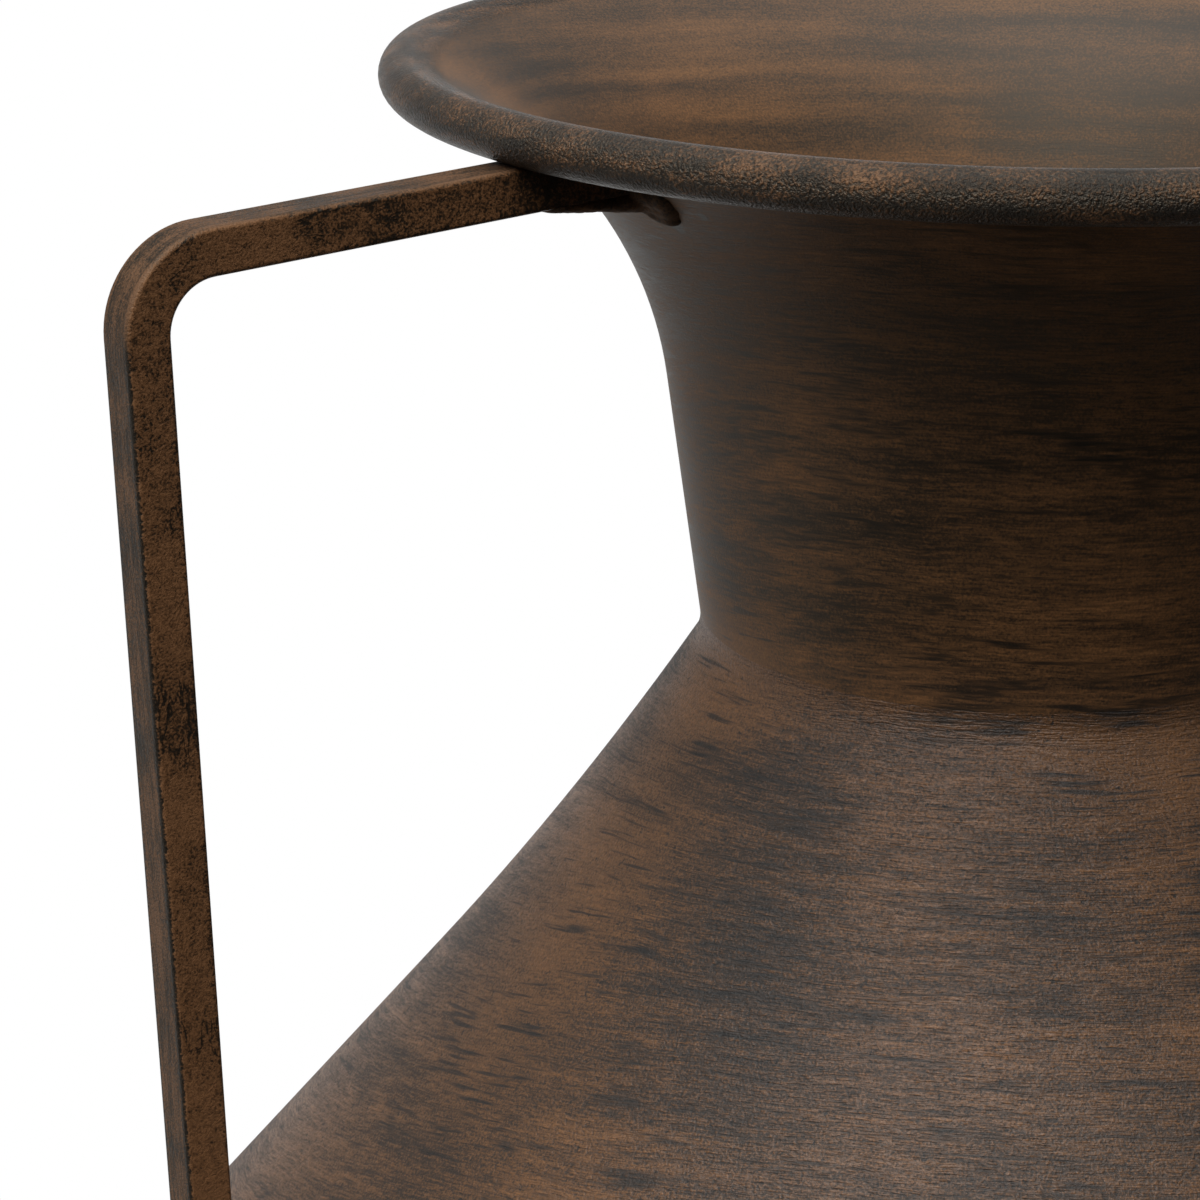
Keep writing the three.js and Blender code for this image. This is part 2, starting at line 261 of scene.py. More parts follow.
straight = [(neck_inside(height), height) for height in (edge_height, edge_height + STRAIGHT_WALL)]
trumpet = arc(flare_centre, FLARE_RADIUS, math.pi - NECK_TAPER, flare_end, FLARE_STEPS)
roll = arc(rim_centre, roll_radius, flare_end, -math.pi, ROLL_STEPS)
neck = spin_piece("neck", sheet_wall(straight + trumpet + roll[1:]))

# %% [markdown]
# The shoulder is a cone that opens out a little more on its way down and rounds over at the belly.
# Its top turns up into the neck, so the two sheets lap before they are welded.

# %% Shoulder
lap_across = (SHEET + FIT_GAP) / math.cos(NECK_TAPER)
bend_rise = lap_across / (math.tan(NECK_TAPER) + math.tan(SHOULDER_TOP_ANGLE))
bend_corner = (NECK_FOOT_RADIUS - bend_rise * math.tan(SHOULDER_TOP_ANGLE), crease_height + bend_rise)
cone_normal = (math.cos(SHOULDER_TOP_ANGLE), math.sin(SHOULDER_TOP_ANGLE))
shoulder_centre = along(bend_corner, cone_normal, SHOULDER_BEND)
upstand_height = crease_height + SOCKET_DEPTH
upstand = (neck_inside(upstand_height) - FIT_GAP / math.cos(NECK_TAPER), upstand_height)
cone_top = math.pi + SHOULDER_TOP_ANGLE
cone = arc(shoulder_centre, SHOULDER_BEND, cone_top, math.pi + SHOULDER_ANGLE)
cone_slope = math.tan(SHOULDER_ANGLE)
round_edge = belly_radius - BELLY_ROUND * (1 - math.cos(SHOULDER_ANGLE))
round_drop = (round_edge - cone[-1][0]) / cone_slope
belly_centre_height = cone[-1][1] - round_drop - BELLY_ROUND * math.sin(SHOULDER_ANGLE)
belly_centre = (belly_radius - BELLY_ROUND, belly_centre_height)
belly_turn = arc(belly_centre, BELLY_ROUND, SHOULDER_ANGLE, 0.0)
shoulder_path = [upstand] + cone + belly_turn
shoulder = spin_piece("shoulder_cone", sheet_wall(shoulder_path), steps=WIDE_TURN_STEPS)
print("belly seam at", round(belly_centre_height, 5))

# %% [markdown]
# The lower body is a bowl with a short upright foot. Its upper edge steps in and laps inside the
# shoulder, which leaves a shallow groove for the belly seam. The bowl's curve is a quadratic Bezier,
# level with the belly at the top and leaning in at a set angle at the foot.

# %% Lower body
LOWER_TAPER = math.radians(35)
FOOT_HEIGHT = 0.008
BELLY_LAP = 0.008
SEAM_GROOVE = 0.0025
LAP_STEPS = 6
BOWL_STEPS = 32

foot_radius = plate_high.x + SHEET + FIT_GAP
lap_radius = belly_radius - SHEET - FIT_GAP
groove_height = belly_centre_height - SEAM_GROOVE
groove_step = belly_radius - lap_radius
foot_top = bowl_low.z + FOOT_HEIGHT


def bowl_curve(steps):
    top = (belly_radius, groove_height - groove_step)
    turn = (belly_radius, foot_top + (belly_radius - foot_radius) / math.tan(LOWER_TAPER))
    foot = (foot_radius, foot_top)
    points = []
    for step in range(steps + 1):
        share = step / steps
        weights = ((1 - share) ** 2, 2 * share * (1 - share), share**2)
        points.append((
            weights[0] * top[0] + weights[1] * turn[0] + weights[2] * foot[0],
            weights[0] * top[1] + weights[1] * turn[1] + weights[2] * foot[1],
        ))
    return points


lap = arc(belly_centre, BELLY_ROUND - SHEET - FIT_GAP, BELLY_LAP / BELLY_ROUND, 0.0, LAP_STEPS)
bowl_path = lap + [(lap_radius, groove_height)] + bowl_curve(BOWL_STEPS) + [(foot_radius, bowl_low.z)]
bowl = spin_piece("lower_bowl", sheet_wall(bowl_path), steps=WIDE_TURN_STEPS)

# %% [markdown]
# The base is a flat disc of thicker sheet inside the foot. Its edge is broken, as a cut edge is
# before welding. The section starts and ends on the axis, so the spin closes it at its poles.

# %% Base plate
PLATE_CHAMFER = 0.0004
plate_top = plate_high.z
plate_bottom = plate_low.z
plate_radius = plate_high.x
plate_section = [
    (0.0, plate_top),
    (plate_radius - PLATE_CHAMFER, plate_top),
    (plate_radius, plate_top - PLATE_CHAMFER),
    (plate_radius, plate_bottom + PLATE_CHAMFER),
    (plate_radius - PLATE_CHAMFER, plate_bottom),
    (0.0, plate_bottom),
]
base_disc = spin_piece("base_disc", plate_section, closed=False, steps=SMALL_TURN_STEPS)

# %% [markdown]
# Three welds run right round the vase. The neck seam is dressed to a hollow fillet, so the coat
# flows from the neck into the shoulder with no line. The belly seam fills its groove with a low
# crown, dressed level with the wall, and the base seam is a plain bead inside the foot. Each is a
# section of its own, spun.

# %% Seam welds
SEAM_LEG = 0.0035
SEAM_ROOT = 0.0006
SEAM_CROWN = 0.0003
BASE_BEAD = 0.0025
CROWN_STEPS = 10
BEAD_STEPS = 8

turn_angle = NECK_TAPER + SHOULDER_TOP_ANGLE
fillet_radius = SEAM_LEG / math.tan(turn_angle / 2)
fillet_top = along((NECK_FOOT_RADIUS, crease_height), neck_way, SEAM_LEG)
fillet_centre = along(fillet_top, neck_normal, fillet_radius)
fillet = arc(fillet_centre, fillet_radius, math.pi - NECK_TAPER, cone_top)
neck_seam = spin_piece("neck_seam", [(NECK_FOOT_RADIUS - SEAM_ROOT, crease_height)] + fillet)

crown_half = (SEAM_GROOVE + groove_step) / 2
crown_middle = belly_centre_height - crown_half
crown_radius = (crown_half**2 + SEAM_CROWN**2) / (2 * SEAM_CROWN)
crown_spread = math.asin(crown_half / crown_radius)
crown_centre = (belly_radius - crown_radius, crown_middle)
crown = arc(crown_centre, crown_radius, -crown_spread, crown_spread, CROWN_STEPS)
belly_seam = spin_piece("belly_seam", [(lap_radius, crown_middle)] + crown, steps=WIDE_TURN_STEPS)

bead_corner = (plate_radius, plate_top)
bead_face = arc(bead_corner, BASE_BEAD, math.pi, math.pi / 2, BEAD_STEPS)
base_seam = spin_piece("base_seam", [bead_corner] + bead_face, steps=SMALL_TURN_STEPS)

# %% [markdown]
# The handle is one length of bar, bent once. It is made as the bar is: its section is a plane with
# rounded corners, extruded along the arm, spun round the bend and extruded down the leg. Two cuts
# with Bisect then trim its ends to the slopes that they are welded to.

# %% Handle bar
BAR_WIDTH = 0.0068
BAR_THICKNESS = 0.0065
BAR_ARRIS = 0.0007
ARRIS_STEPS = 5
BAR_SMOOTH = math.radians(40)
ARM_SLOPE = math.radians(2.3)
LEG_LEAN = math.radians(1.9)
BEND_INSIDE = 0.007
HANDLE_INSET = 0.0079
ARM_GAP = 0.0001
BEND_STEPS = 20

handle_reach = belly_radius - HANDLE_INSET
arm_out = (math.cos(ARM_SLOPE), -math.sin(ARM_SLOPE))
arm_up = (math.sin(ARM_SLOPE), math.cos(ARM_SLOPE))
leg_down = (-math.sin(LEG_LEAN), -math.cos(LEG_LEAN))
leg_out = (math.cos(LEG_LEAN), -math.sin(LEG_LEAN))
bend_middle = BEND_INSIDE + BAR_THICKNESS / 2
arm_under_rim = roll_radius + ARM_GAP + BAR_THICKNESS / 2
arm_point = along(rim_centre, arm_up, -arm_under_rim)
corner_along = (handle_reach - arm_point[0]) / arm_out[0]
corner = (handle_reach, arm_point[1] + arm_out[1] * corner_along)
bend_angle = math.pi / 2 - ARM_SLOPE + LEG_LEAN
set_back = bend_middle * math.tan(bend_angle / 2)
bend_centre = along(along(corner, arm_out, -set_back), arm_up, -bend_middle)


def on_handle(point, across=0.0):
    """A point of the handle's upright plane, which lies along -X, in the frame."""
    return (-point[0], across, point[1])


arm_start = along(corner, arm_out, NECK_FOOT_RADIUS - handle_reach)
arm_length = math.dist(arm_start, corner) - set_back
bpy.ops.mesh.primitive_plane_add(
    size=1.0,
    location=on_handle(arm_start),
    rotation=(0.0, math.pi / 2 - ARM_SLOPE, 0.0),
)
handle = bpy.context.object
handle.name = "handle"
handle.scale = (BAR_THICKNESS, BAR_WIDTH, 1.0)
bpy.ops.object.transform_apply()
bpy.ops.object.mode_set(mode="EDIT")
bpy.ops.mesh.select_all(action="SELECT")
bpy.ops.mesh.bevel(offset=BAR_ARRIS, segments=ARRIS_STEPS, affect="VERTICES")
arm_move = (-arm_out[0] * arm_length, 0.0, arm_out[1] * arm_length)
bpy.ops.mesh.extrude_region_move(TRANSFORM_OT_translate={"value": arm_move})
bend_axis = on_handle(bend_centre)
bpy.ops.mesh.spin(steps=BEND_STEPS, angle=bend_angle, center=bend_axis, axis=(0.0, 1.0, 0.0))
leg_length = corner[1] - belly_centre_height
leg_move = (-leg_down[0] * leg_length, 0.0, leg_down[1] * leg_length)
bpy.ops.mesh.extrude_region_move(TRANSFORM_OT_translate={"value": leg_move})
merge_doubles()
print("handle before its cuts:", len(handle.data.polygons), "faces")

# %% Cuts at the ends of the bar
def flare_under(height):
    """Radius of the trumpet's underside at a height."""
    return flare_centre[0] - math.sqrt((FLARE_RADIUS - SHEET) ** 2 - (height - flare_centre[1]) ** 2)


def cut_bar(point, normal):
    """Cuts off what lies behind a plane across the bar and closes the end."""
    bpy.ops.mesh.select_all(action="SELECT")
    plane = {"plane_co": on_handle(point), "plane_no": on_handle(normal)}
    bpy.ops.mesh.bisect(**plane, use_fill=True, clear_inner=True)


arm_low = rim_height - roll_radius - ARM_GAP - BAR_THICKNESS
arm_high = arm_low + BAR_THICKNESS
cut_low = (flare_under(arm_low), arm_low)
cut_high = (flare_under(arm_high), arm_high)
cut_normal = right_of(cut_low, cut_high)
cut_bar(cut_low, cut_normal)
slope_normal = (math.cos(SHOULDER_ANGLE), math.sin(SHOULDER_ANGLE))
cut_bar(cone[-1], slope_normal)
close_mesh(BAR_SMOOTH)
modify(handle, "WEIGHTED_NORMAL", weight=100, keep_sharp=True)
print("handle:", len(handle.data.polygons), "faces")

# %% [markdown]
# The handle's welds are lumps of metal laid down drop by drop. Each drop is a sphere, round or
# squashed, set against the joint. The drops are joined, remeshed into one skin, smoothed, and
# roughened a little with a cloud texture, so that the weld looks poured and not carved. The sheet is
# thinner than the drops, so what would come out behind it is cut off at the middle of the sheet.

# %% Weld lumps
WELD_VOXEL = 0.0003
WELD_ROUGHNESS = 0.0003
LUMP_SIZE = 0.0025

lumps = bpy.data.textures.new("weld_lumps", type="CLOUDS")
lumps.noise_scale = LUMP_SIZE


def weld_lump(name, drops):
    """One skin over drops, each given as (outwards, across, height) and (length, width, depth)."""
    made = []
    for place, size in drops:
        bpy.ops.mesh.primitive_uv_sphere_add(
            segments=24,
            ring_count=14,
            radius=1.0,
            location=on_handle((place[0], place[2]), place[1]),
            scale=size,
        )
        made.append(bpy.context.object)
    pick(*made)
    bpy.ops.object.join()
    weld = bpy.context.object
    weld.name = name
    bpy.ops.object.transform_apply()
    modify(weld, "REMESH", mode="VOXEL", voxel_size=WELD_VOXEL)
    modify(weld, "SMOOTH", factor=0.5, iterations=12)
    modify(weld, "DISPLACE", texture=lumps, texture_coords="LOCAL", strength=WELD_ROUGHNESS)
    bpy.ops.object.shade_smooth()
    print(name, "faces:", len(weld.data.polygons))
    return weld


# %% Cut behind the sheet
BEHIND = 0.006


def trim_behind(weld, sheet_middle, far_side):
    """Cuts a weld off at the middle of a spun sheet, with a core that is then thrown away."""
    core = spin_piece("core", sheet_middle + far_side[::-1])
    modify(weld, "BOOLEAN", operation="DIFFERENCE", solver="EXACT", object=core)
    pick(core)
    bpy.ops.object.delete()
    print(weld.name, "faces after the cut:", len(weld.data.polygons))


# %% Weld under the rim
def under_flare(outwards, across=0.0):
    """Height of the trumpet's underside over a point of the handle's plane, or beside it."""
    inwards = flare_centre[0] - math.hypot(outwards, across)
    return flare_centre[1] + math.sqrt((FLARE_RADIUS - SHEET) ** 2 - inwards**2)


def arm_bottom(outwards):
    return corner[1] - arm_up[1] * BAR_THICKNESS / 2 + (handle_reach - outwards) * math.tan(ARM_SLOPE)


# %% Drops of the weld under the rim
WEDGE_SLOPE = 0.17
WEDGE_LENGTH = 0.0158
WEDGE_STEPS = 10
WEDGE_DROP = 0.0026
WEDGE_HALF_WIDTH = 0.0034
WEDGE_UNEVEN = 0.0003
WEDGE_DEEPER = 0.0007
TAIL_DROP = 0.0020
TAIL_SUNK = 0.0009
TAIL = [
    (0.0046, 0.0008),
    (0.0032, 0.0014),
    (0.0018, 0.0013),
    (0.0004, 0.0015),
    (-0.0008, 0.0020),
    (-0.0020, 0.0027),
    (-0.0032, 0.0033),
    (-0.0046, 0.0032),
    (-0.0056, 0.0021),
    (-0.0060, 0.0007),
    (-0.0042, 0.0018),
    (-0.0028, 0.0014),
    (-0.0045, 0.0004),
]
SIDE_DROPS = 9
SIDE_START = 0.0002
SIDE_SPACING = 0.0010
SIDE_OUT = 0.0001
SIDE_SWELL = 0.0015
SIDE_UNEVEN = 0.0002

root = cut_low[0]
half_bar = BAR_WIDTH / 2
top_drops = []
for step in range(1, WEDGE_STEPS + 1):
    inwards = WEDGE_LENGTH * step / WEDGE_STEPS
    outwards = root + WEDGE_LENGTH - inwards
    depth = inwards * WEDGE_SLOPE
    half_width = WEDGE_HALF_WIDTH + WEDGE_UNEVEN * math.sin(1.7 * step)
    place = (outwards, 0.0, arm_bottom(outwards) - depth / 2)
    top_drops.append((place, (WEDGE_DROP, half_width, depth / 2 + WEDGE_DEEPER)))
for across, drop in TAIL:
    outwards = root - drop
    height = under_flare(outwards, across) + TAIL_SUNK
    top_drops.append(((outwards, across, height), (TAIL_DROP, TAIL_DROP, TAIL_DROP)))
for side in (-1.0, 1.0):
    across = side * (half_bar + SIDE_OUT)
    for step in range(SIDE_DROPS):
        outwards = root + SIDE_START + SIDE_SPACING * step
        swell = SIDE_SWELL + SIDE_UNEVEN * math.sin(2.1 * step + side)
        place = (outwards, across, under_flare(outwards, across))
        top_drops.append((place, (swell, swell, swell)))
top_weld = weld_lump("top_weld", top_drops)
trim_behind(top_weld, beside(trumpet, SHEET / 2), beside(trumpet, -BEHIND))

# %% Weld on the shoulder
FOOT_DROPS = 18
FOOT_OUT = 0.0004
FOOT_SWELL = 0.0021
FOOT_UNEVEN = 0.00025

leg_fall = (corner[0] - cone[-1][0]) * slope_normal[0] + (corner[1] - cone[-1][1]) * slope_normal[1]
leg_run = -leg_fall / (leg_down[0] * slope_normal[0] + leg_down[1] * slope_normal[1])
leg_foot = along(corner, leg_down, leg_run)
slope_way = (slope_normal[1], -slope_normal[0])
foot_half = BAR_THICKNESS / 2 / abs(slope_way[0] * leg_out[0] + slope_way[1] * leg_out[1])
foot_drops = []
for count in range(FOOT_DROPS):
    turn = 2 * math.pi * count / FOOT_DROPS
    place = along(leg_foot, slope_way, (foot_half + FOOT_OUT) * math.cos(turn))
    across = (half_bar + FOOT_OUT) * math.sin(turn)
    swell = FOOT_SWELL + FOOT_UNEVEN * math.sin(2.7 * count)
    foot_drops.append(((place[0], across, place[1]), (swell, swell, swell)))
foot_weld = weld_lump("foot_weld", foot_drops)
slope = cone + belly_turn[:1]
trim_behind(foot_weld, beside(slope, SHEET / 2), beside(slope, BEHIND))

# %% [markdown]
# Four rubber feet keep the iron off the table. Each is a disc with a rounded lower edge and a shallow
# dish in its underside. One is spun at the first foot's place. The other three are copies of it, each
# with a mesh of its own, moved to where the frame has them.

# %% Rubber feet
RUBBER_ROUND = 0.0006
RUBBER_DISH = 0.0003
RUBBER_STEPS = 5
DISH_EDGE = 0.7
DISH_FLOOR = 0.55

rubber_nodes = [f"rubber_foot_{count}" for count in range(1, 5)]
first_low, first_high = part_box(rubber_nodes[0])
rubber_radius = (first_high.x - first_low.x) / 2
edge_centre = (rubber_radius - RUBBER_ROUND, first_low.z + RUBBER_ROUND)
rubber_edge = arc(edge_centre, RUBBER_ROUND, 0.0, -math.pi / 2, RUBBER_STEPS)
dish_height = first_low.z + RUBBER_DISH
dish = [
    (rubber_radius * DISH_EDGE, first_low.z),
    (rubber_radius * DISH_FLOOR, dish_height),
    (0.0, dish_height),
]
rubber_section = [(0.0, first_high.z), (rubber_radius, first_high.z)] + rubber_edge + dish
first_middle = ((first_low.x + first_high.x) / 2, (first_low.y + first_high.y) / 2)
first_foot = spin_piece(
    "foot_1",
    rubber_section,
    middle=first_middle,
    closed=False,
    steps=FOOT_TURN_STEPS,
)
rubber_feet = [first_foot]
for count, node in enumerate(rubber_nodes[1:], 2):
    node_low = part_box(node)[0]
    pick(first_foot)
    bpy.ops.object.duplicate()
    foot = bpy.context.object
    foot.name = f"foot_{count}"
    foot.location = (node_low.x - first_low.x, node_low.y - first_low.y, 0.0)
    bpy.ops.object.transform_apply(location=True, rotation=False, scale=False)
    rubber_feet.append(foot)
print("rubber feet:", len(rubber_feet))

# %% [markdown]
# Now the finishes. Every one is built from nodes on Object coordinates, in metres, so a size in a node
# is a size on the vase. Small helpers add a node, set its options, and join or set its inputs.

# %% Node helpers
WHITE = (1.0, 1.0, 1.0, 1.0)
WARM_GLAZE = (1.0, 0.88, 0.70, 1.0)
UP = (0.0, 0.0, 1.0)
LEVEL = (1.0, 1.0, 0.0)
SIDEWAYS = (0.0, 1.0, 0.0)


def feed(node, inputs):
    """Joins an input of a node to another node's output, or sets it to a value."""
    for socket, value in inputs.items():
        if isinstance(value, bpy.types.NodeSocket):
            node.id_data.links.new(value, node.inputs[socket])
        else:
            node.inputs[socket].default_value = value


def add(tree, kind, inputs=None, **options):
    made = tree.nodes.new(kind)
    for option, value in options.items():
        setattr(made, option, value)
    feed(made, inputs or {})
    return made


def join(kind, inputs, **options):
    """Adds a node to the tree that its inputs come from."""
    sockets = [value for value in inputs.values() if isinstance(value, bpy.types.NodeSocket)]
    return add(sockets[0].id_data, kind, inputs, **options)


def math_node(operation, first, second=0.0, third=0.0):
    return join("ShaderNodeMath", {0: first, 1: second, 2: third}, operation=operation).outputs[0]


def plus(*values):
    total = values[0]
    for value in values[1:]:
        total = math_node("ADD", total, value)
    return total


def vector_node(operation, first, second):
    return join("ShaderNodeVectorMath", {0: first, 1: second}, operation=operation).outputs[0]


def dot(first, second):
    made = join("ShaderNodeVectorMath", {0: first, 1: second}, operation="DOT_PRODUCT")
    return made.outputs["Value"]


def length_of(vector):
    return join("ShaderNodeVectorMath", {0: vector}, operation="LENGTH").outputs["Value"]


def combine(x, y, z=0.0):
    return join("ShaderNodeCombineXYZ", {"X": x, "Y": y, "Z": z}).outputs[0]


def noise(place, scale, detail=2.0, roughness=0.5):
    inputs = {"Vector": place, "Scale": scale, "Detail": detail, "Roughness": roughness}
    return join("ShaderNodeTexNoise", inputs).outputs[0]


def remap(value, low, high, to_low=0.0, to_high=1.0):
    inputs = {"Value": value, "From Min": low, "From Max": high, "To Min": to_low, "To Max": to_high}
    return join("ShaderNodeMapRange", inputs, interpolation_type="SMOOTHSTEP").outputs[0]


def blend(share, first, second):
    return join("ShaderNodeMix", {0: share, 2: first, 3: second}).outputs[0]


def blend_colours(share, first, second):
    return join("ShaderNodeMix", {0: share, 6: first, 7: second}, data_type="RGBA").outputs[2]


def ramp(value, stops):
    made = join("ShaderNodeValToRGB", {0: value})
    points = made.color_ramp.elements
    while len(points) < len(stops):
        points.new(0.5)
    for point, (place, colour) in zip(points, stops):
        point.position = place
        point.color = (*colour, 1.0)
    return made.outputs[0]


def weighted(terms, base):
    """base, plus each value's distance from its middle of 0.5 times its weight."""
    total = base - sum(weight for value, weight in terms) / 2
    for value, weight in terms:
        total = math_node("MULTIPLY_ADD", value, weight, total)
    return total


# %% Helpers for groups and materials
def new_group(name, inputs, outputs):
    tree = bpy.data.node_groups.new(name, "ShaderNodeTree")
    for socket, kind, value in inputs:
        made = tree.interface.new_socket(socket, in_out="INPUT", socket_type=kind)
        if value is not None:
            made.default_value = value
    for socket, kind in outputs:
        tree.interface.new_socket(socket, in_out="OUTPUT", socket_type=kind)
    return tree, add(tree, "NodeGroupInput").outputs, add(tree, "NodeGroupOutput").inputs


def use_group(group, inputs):
    return join("ShaderNodeGroup", inputs, node_tree=group).outputs


def new_material(name):
    material = bpy.data.materials.new(name)
    material.use_nodes = True
    tree = material.node_tree
    tree.nodes.clear()
    shader = add(tree, "ShaderNodeBsdfPrincipled")
    output = add(tree, "ShaderNodeOutputMaterial")
    tree.links.new(shader.outputs[0], output.inputs["Surface"])
    place = add(tree, "ShaderNodeTexCoord").outputs["Object"]
    return material, shader, place


def bump(lift, strength, depth):
    inputs = {"Height": lift, "Strength": strength, "Distance": depth}
    return join("ShaderNodeBump", inputs).outputs[0]


# %% [markdown]
# The glaze was brushed round the vase, so its marks are drawn out along the turn. The walls lean one
# way on the neck and the other on the shoulder, so this group makes one coordinate that runs steadily
# down both of them: the height, plus a share of the radius that changes sign at the crease. The brush
# was held aslant, more so low on the shoulder, so the strokes sink towards the back. Noise read on this
# coordinate is squeezed across the stroke and long round the vase. A slow wander bends it.

# %% Brushed coordinate
FLOAT = "NodeSocketFloat"
VECTOR = "NodeSocketVector"
BRUSH_INPUTS = [
    ("Place", VECTOR, None),
    ("Length", FLOAT, 0.02),
    ("Width", FLOAT, 0.001),
    ("Wander", FLOAT, 0.003),
]
NECK_LEAN = 0.7
SHOULDER_LEAN = -0.5
LEAN_BLEND = 0.004
NECK_SLANT = 0.2
SHOULDER_SLANT = 0.48
SLANT_BLEND = 0.04
WANDERS_PER_METRE = 30.0


def over_crease(height, below, above, on_shoulder, on_neck):
    """A value that changes from the shoulder's to the neck's close to the crease."""
    return remap(height, crease_height - below, crease_height + above, on_shoulder, on_neck)


back_way = (-math.cos(CAMERA_TURN), -math.sin(CAMERA_TURN), 0.0)
brushed, given, out = new_group("brushed_round", BRUSH_INPUTS, [("Stroke", VECTOR)])
place = given["Place"]
flat = vector_node("MULTIPLY", place, LEVEL)
radius = length_of(flat)
height = dot(place, UP)
slant = over_crease(height, SLANT_BLEND, 0.0, SHOULDER_SLANT, NECK_SLANT)
backwards = dot(place, back_way)
slanted = math_node("MULTIPLY_ADD", backwards, slant, height)
lean = over_crease(height, LEAN_BLEND, LEAN_BLEND, SHOULDER_LEAN, NECK_LEAN)
over_foot = math_node("SUBTRACT", radius, NECK_FOOT_RADIUS)
across = math_node("MULTIPLY_ADD", over_foot, lean, slanted)
wander = math_node("SUBTRACT", noise(place, WANDERS_PER_METRE, 3.0), 0.5)
across = math_node("MULTIPLY_ADD", wander, given["Wander"], across)
across = math_node("DIVIDE", across, given["Width"])
per_length = math_node("DIVIDE", 1.0, given["Length"])
round_part = join("ShaderNodeVectorMath", {0: flat, "Scale": per_length}, operation="SCALE")
across_part = combine(0.0, 0.0, across)
brushed.links.new(vector_node("ADD", round_part.outputs[0], across_part), out["Stroke"])
print("group", brushed.name)

# %% [markdown]
# Three marks of the brush use that coordinate: hairlines from the bristles, broad smears where the
# brush was loaded, and separate dark strokes where it touched down and lifted. Under them lie soft
# clouds, where the glaze was wiped thin, and the fine grain of the sprayed coat. Each is a group of
# its own, because the body, the rim, the handle and the welds all use some of them.

# %% Marks of the brush
def brush_group(name, detail, roughness):
    tree, given, out = new_group(name, BRUSH_INPUTS, [("Mark", FLOAT)])
    sizes = {socket: given[socket] for socket, kind, value in BRUSH_INPUTS}
    stroke = use_group(brushed, sizes)[0]
    tree.links.new(noise(stroke, 1.0, detail, roughness), out["Mark"])
    return tree


def brush_mark(group, place, sizes):
    """A mark with its length round the vase, its width and how far it wanders."""
    length, width, wander = sizes
    inputs = {"Place": place, "Length": length, "Width": width, "Wander": wander}
    return use_group(group, inputs)[0]


smear = brush_group("brush_smear", 2.0, 0.5)
hairline = brush_group("brush_hairline", 2.0, 0.6)
touch_down = brush_group("brush_stroke", 2.0, 0.5)
print("groups", smear.name, hairline.name, touch_down.name)

# %% Clouds and grain
def grain_group(name, detail, roughness):
    tree, given, out = new_group(
        name,
        [("Place", VECTOR, None), ("Size", FLOAT, 0.001)],
        [("Grain", FLOAT)],
    )
    per_size = math_node("DIVIDE", 1.0, given["Size"])
    tree.links.new(noise(given["Place"], per_size, detail, roughness), out["Grain"])
    return tree


def grain_mark(group, place, size):
    return use_group(group, {"Place": place, "Size": size})[0]


clouds = grain_group("glaze_clouds", 3.0, 0.55)
grain = grain_group("coat_grain", 2.0, 0.6)
print("groups", clouds.name, grain.name)

# %% [markdown]
# The body's coat mixes the marks into one number. Where it is low the dark glaze covers, and where it
# is high the copper-brown base shows, and a ramp turns it into colour. The base was rubbed smooth and
# the glaze dried matt, so the same number drives the gloss. It starts lower on the neck, which makes
# the neck darker: partly more glaze was left there, and partly it is painted shade under the rim. Some
# places were wiped harder or left darker by hand, and each is a soft ball of influence at its own spot.
# Other balls are painted light and shade: painted light on the front of the shoulder under the crease,
# painted shade in a band on the left front of the shoulder and in two pits of the weld under the rim.
# Where it was wiped the bristle marks are faint and the separate strokes stand out. These gather where
# the clouds are thick, the grain frays their edges, and small dark pits are strewn over the shoulder
# and the bowl.

# %% Colours, sizes and places of the marks
COAT = [
    (0.05, (0.0070, 0.0058, 0.0046)),
    (0.33, (0.0330, 0.0178, 0.0088)),
    (0.55, (0.0960, 0.0445, 0.0170)),
    (0.90, (0.2050, 0.0920, 0.0320)),
]
# The neck's lower level darkens it: partly more glaze, partly painted shade under the rim.
NECK_DEPTH = 0.455
SHOULDER_DEPTH = 0.48
NECK_GRIT = 0.8
SHOULDER_GRIT = 1.2
CLOUD_SIZE = 0.045
CROWD_SIZE = 0.020
TOOTH_SIZE = 0.0004
PIT_SIZE = 0.0010
BROAD = (0.035, 0.004, 0.006)
FINE = (0.010, 0.0006, 0.003)
TOUCH = (0.013, 0.0011, 0.004)
BRISTLE = (0.0035, 0.0004, 0.003)
# Balls of influence (spot, reach, amount): wipes and darker glaze, with painted light and shade marked.
BODY_MARKS_AND_PAINTED_LIGHT = [
    ((-0.0465, 0.0174, 0.2860), 0.020, 0.24),
    ((-0.0666, 0.0156, 0.2583), 0.034, 0.17),
    ((-0.0790, 0.0260, 0.2380), 0.028, 0.13),
    ((-0.0870, 0.0130, 0.2320), 0.030, 0.10),
    # Painted shade: darkens a band on the left front of the shoulder.
    ((-0.0757, -0.0242, 0.2433), 0.018, -0.06),
    # Painted light on the front of the shoulder just under the crease.
    ((-0.0164, -0.0500, 0.2812), 0.018, 0.10),
    # Painted shade: these three darken the same band on the left front of the shoulder.
    ((-0.0557, -0.0143, 0.2740), 0.026, -0.16),
    ((-0.0662, -0.0188, 0.2576), 0.030, -0.18),
    ((-0.0718, -0.0309, 0.2449), 0.028, -0.10),
    # Painted light: these two lighten the front of the shoulder just under the crease.
    ((-0.0267, -0.0397, 0.2887), 0.016, 0.18),
    ((-0.0100, -0.0490, 0.2865), 0.016, 0.18),
    ((-0.0450, -0.0362, 0.3477), 0.034, -0.05),
    ((-0.0475, 0.0040, 0.2935), 0.018, 0.22),
    ((-0.0655, 0.0040, 0.3605), 0.014, 0.16),
    # Painted shade: these two black dots stand in for the shade inside two pits of the weld under the
    # rim.
    ((-0.0674, -0.0040, 0.3634), 0.0020, -0.7),
    ((-0.0694, -0.0124, 0.3665), 0.0014, -0.7),
]
